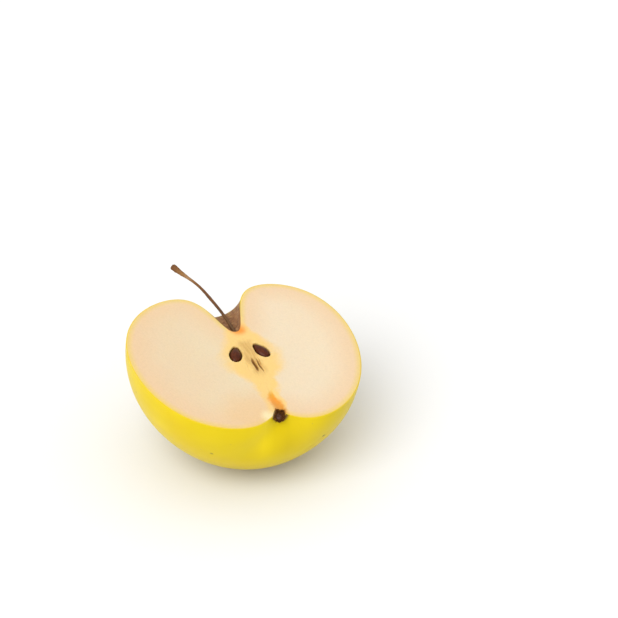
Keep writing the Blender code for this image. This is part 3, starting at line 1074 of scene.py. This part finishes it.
def glossy_brown_seed_coat(place, turn):
    """The coat of a ripe pip: smooth and chestnut brown, with fine darker lines towards its
    point, and a shine."""
    made, tree, shader, fruit = new_material(
        "glossy_brown_seed_coat", {"IOR": 1.45, "Specular IOR Level": 0.2}
    )
    lie = Matrix.Translation((place.x / MM, place.y / MM, 0)) @ Matrix.Rotation(turn, 4, "Z")
    back = lie.inverted()
    along = add(
        tree,
        "Mapping",
        [("Vector", fruit), ("Location", back.translation), ("Rotation", back.to_euler("XYZ"))],
    )
    fibres = add(tree, "Mapping", [("Vector", along), ("Scale", (5.0, 0.5, 5.0))])
    lines = add(tree, "TexNoise", [("Vector", fibres), ("Scale", 1.0), ("Detail", 4.0)], out="Fac")
    brown = add(
        tree, "ValToRGB", [("Fac", lines)], stops=[(0.3, "#331205"), (0.5, "#4A1E09"), (0.72, "#622F11")]
    )
    tree.links.new(brown, shader.inputs["Base Color"])
    gloss = add(tree, "MapRange", [("Value", lines), ("To Min", 0.22), ("To Max", 0.42)])
    tree.links.new(gloss, shader.inputs["Roughness"])
    bump = add(tree, "Bump", [("Strength", 0.4), ("Distance", 0.00005), ("Height", lines)])
    tree.links.new(bump, shader.inputs["Normal"])
    return made


def dry_brown_fruit_stem():
    """A dry woody stem: matt, dark brown to pale tan, with fine bark lines along it."""
    made, tree, shader, fruit = new_material("dry_brown_fruit_stem", {})
    y = add(tree, "SeparateXYZ", [("Vector", fruit)], out="Y")
    fibres = add(
        tree,
        "Mapping",
        [("Vector", fruit), ("Rotation", (0, 0, math.radians(-14))), ("Scale", (3.2, 0.35, 3.2))],
    )
    lines = add(
        tree,
        "TexNoise",
        [("Vector", fibres), ("Scale", 1.0), ("Detail", 5.0), ("Roughness", 0.6)],
        out="Fac",
    )
    bark = add(
        tree,
        "ValToRGB",
        [("Fac", lines)],
        stops=[(0.28, "#42250A"), (0.45, "#683F11"), (0.6, "#86561A"), (0.78, "#A17535")],
    )

    # Darkest in the lower half, pale below the knob and brown at its end.
    share = add(tree, "MapRange", [("Value", y), ("From Min", 12.0), ("From Max", 45.0)])
    toned = add(
        tree,
        "ValToRGB",
        [("Fac", share)],
        stops=[
            (0.0, "#3F2B15"), (0.24, "#4C3114"), (0.32, "#3B2007"), (0.45, "#5C340A"),
            (0.59, "#573009"), (0.73, "#7C521F"), (0.79, "#A8825A"), (0.85, "#8E6430"),
            (0.92, "#6E4316"), (0.98, "#532F0C"),
        ],
    )
    barked = add(tree, "Mix", [(0, 0.65), (6, bark), (7, toned)], **TINT)
    tree.links.new(barked, shader.inputs["Base Color"])
    rough = add(tree, "MapRange", [("Value", lines), ("To Min", 0.6), ("To Max", 0.85)])
    tree.links.new(rough, shader.inputs["Roughness"])
    bump = add(tree, "Bump", [("Strength", 0.7), ("Distance", 0.00012), ("Height", lines)])
    tree.links.new(bump, shader.inputs["Normal"])
    return made


def dried_sepal():
    """Dried calyx tissue: papery and matt, dark brown, with a greyish bloom inside the cup."""
    made, tree, shader, fruit = new_material(
        "dried_sepal", {"Roughness": 0.85, "Specular IOR Level": 0.15}
    )
    grain = add(
        tree,
        "TexNoise",
        [("Vector", fruit), ("Scale", 1.6), ("Detail", 5.0), ("Roughness", 0.6)],
        out="Fac",
    )
    brown = add(
        tree, "ValToRGB", [("Fac", grain)], stops=[(0.3, "#2E1703"), (0.5, "#4C2A06"), (0.68, "#70440E")]
    )
    patch = add(tree, "TexNoise", [("Vector", fruit), ("Scale", 0.8), ("Detail", 2.0)], out="Fac")
    patch = add(tree, "MapRange", [("Value", patch), ("From Min", 0.35), ("From Max", 0.6)])
    cup = round_patch(tree, fruit, (-0.2, -28.2, -1.2), 1.35, 0.5, most=0.8)
    bloom = add(tree, "Math", [(0, patch), (1, cup)], operation="MULTIPLY")
    bloomed = add(tree, "Mix", [(0, bloom), (6, brown), (7, "#785A55")], **TINT)
    tree.links.new(bloomed, shader.inputs["Base Color"])
    bump = add(tree, "Bump", [("Strength", 0.8), ("Distance", 0.00015), ("Height", grain)])
    tree.links.new(bump, shader.inputs["Normal"])
    return made


# The studio


def matt_white_floor():
    """White paper, plain but for a faint unevenness."""
    made = bpy.data.materials.new("matt_white_floor")
    made.use_nodes = True
    tree = made.node_tree
    shader = tree.nodes["Principled BSDF"]
    coords = add(tree, "TexCoord", out="Object")
    tone = add(tree, "TexNoise", [("Vector", coords), ("Scale", 3.0)], out="Fac")
    white = add(
        tree,
        "ValToRGB",
        [("Fac", tone)],
        stops=[(0.3, "#E6E6E5"), (0.7, "#E8E8E8")],
    )
    tree.links.new(white, shader.inputs["Base Color"])
    shader.inputs["Roughness"].default_value = 0.95
    shader.inputs["Specular IOR Level"].default_value = 0.1
    return made


KEY_FROM = Vector((-0.55, -0.45, 0.70))
KEY_STRENGTH = 1.9
KEY_SPREAD = math.radians(50)


def studio():
    """A pale floor under a light tent that is brightest overhead, with a soft key from the left."""
    deselect()
    bpy.ops.mesh.primitive_plane_add(size=12.0)
    floor = bpy.context.object
    floor.name = "floor"
    floor.data.materials.append(matt_white_floor())

    world = bpy.data.worlds.new("studio_fill")
    bpy.context.scene.world = world
    world.use_nodes = True
    tree = world.node_tree
    sky = add(tree, "SeparateXYZ", [("Vector", add(tree, "TexCoord", out="Generated"))], out="Z")
    overhead = add(
        tree,
        "MapRange",
        [("Value", sky), ("From Min", -0.1), ("From Max", 0.8), ("To Min", 0.38), ("To Max", 1.05)],
    )
    tree.nodes["Background"].inputs["Color"].default_value = (1, 1, 1, 1)
    tree.links.new(overhead, tree.nodes["Background"].inputs["Strength"])

    key = bpy.data.lights.new("key", "SUN")
    key.energy = KEY_STRENGTH
    key.angle = KEY_SPREAD
    lamp = bpy.data.objects.new("key", key)
    bpy.context.collection.objects.link(lamp)
    lamp.matrix_world = KEY_FROM.to_track_quat("Z", "Y").to_matrix().to_4x4()
    bpy.context.scene.view_settings.view_transform = "Standard"
    bpy.context.scene.view_settings.look = "None"


# The camera stands 953 mm from the core, turned 21.3 degrees to the left and 36 degrees up.
CAMERA_AWAY = 953.4 * MM
CAMERA_TURN = math.radians(-21.28)
CAMERA_UP = math.radians(36.0)
CAMERA_LENS = 174.76
AIM_RIGHT = 19.1 * MM
AIM_UP = 14.3 * MM


def camera():
    """A long lens that frames the half as the photo does, to the left and low."""
    data = bpy.data.cameras.new("camera")
    data.lens = CAMERA_LENS
    data.sensor_width = 36.0
    data.clip_start = 0.05
    data.clip_end = 30.0
    obj = bpy.data.objects.new("camera", data)
    bpy.context.collection.objects.link(obj)
    turn = Matrix.Rotation(CAMERA_TURN, 4, "Z") @ Matrix.Rotation(math.pi / 2 - CAMERA_UP, 4, "X")
    right, up, back = (turn.col[i].to_3d() for i in range(3))
    place = CORE_MIDDLE + right * AIM_RIGHT + up * AIM_UP + back * CAMERA_AWAY
    obj.matrix_world = Matrix.Translation(place) @ turn
    bpy.context.scene.camera = obj


camera()
studio()
apple_half()
for node in PIPS:
    pip(node)
stem()
calyx()
stamens()
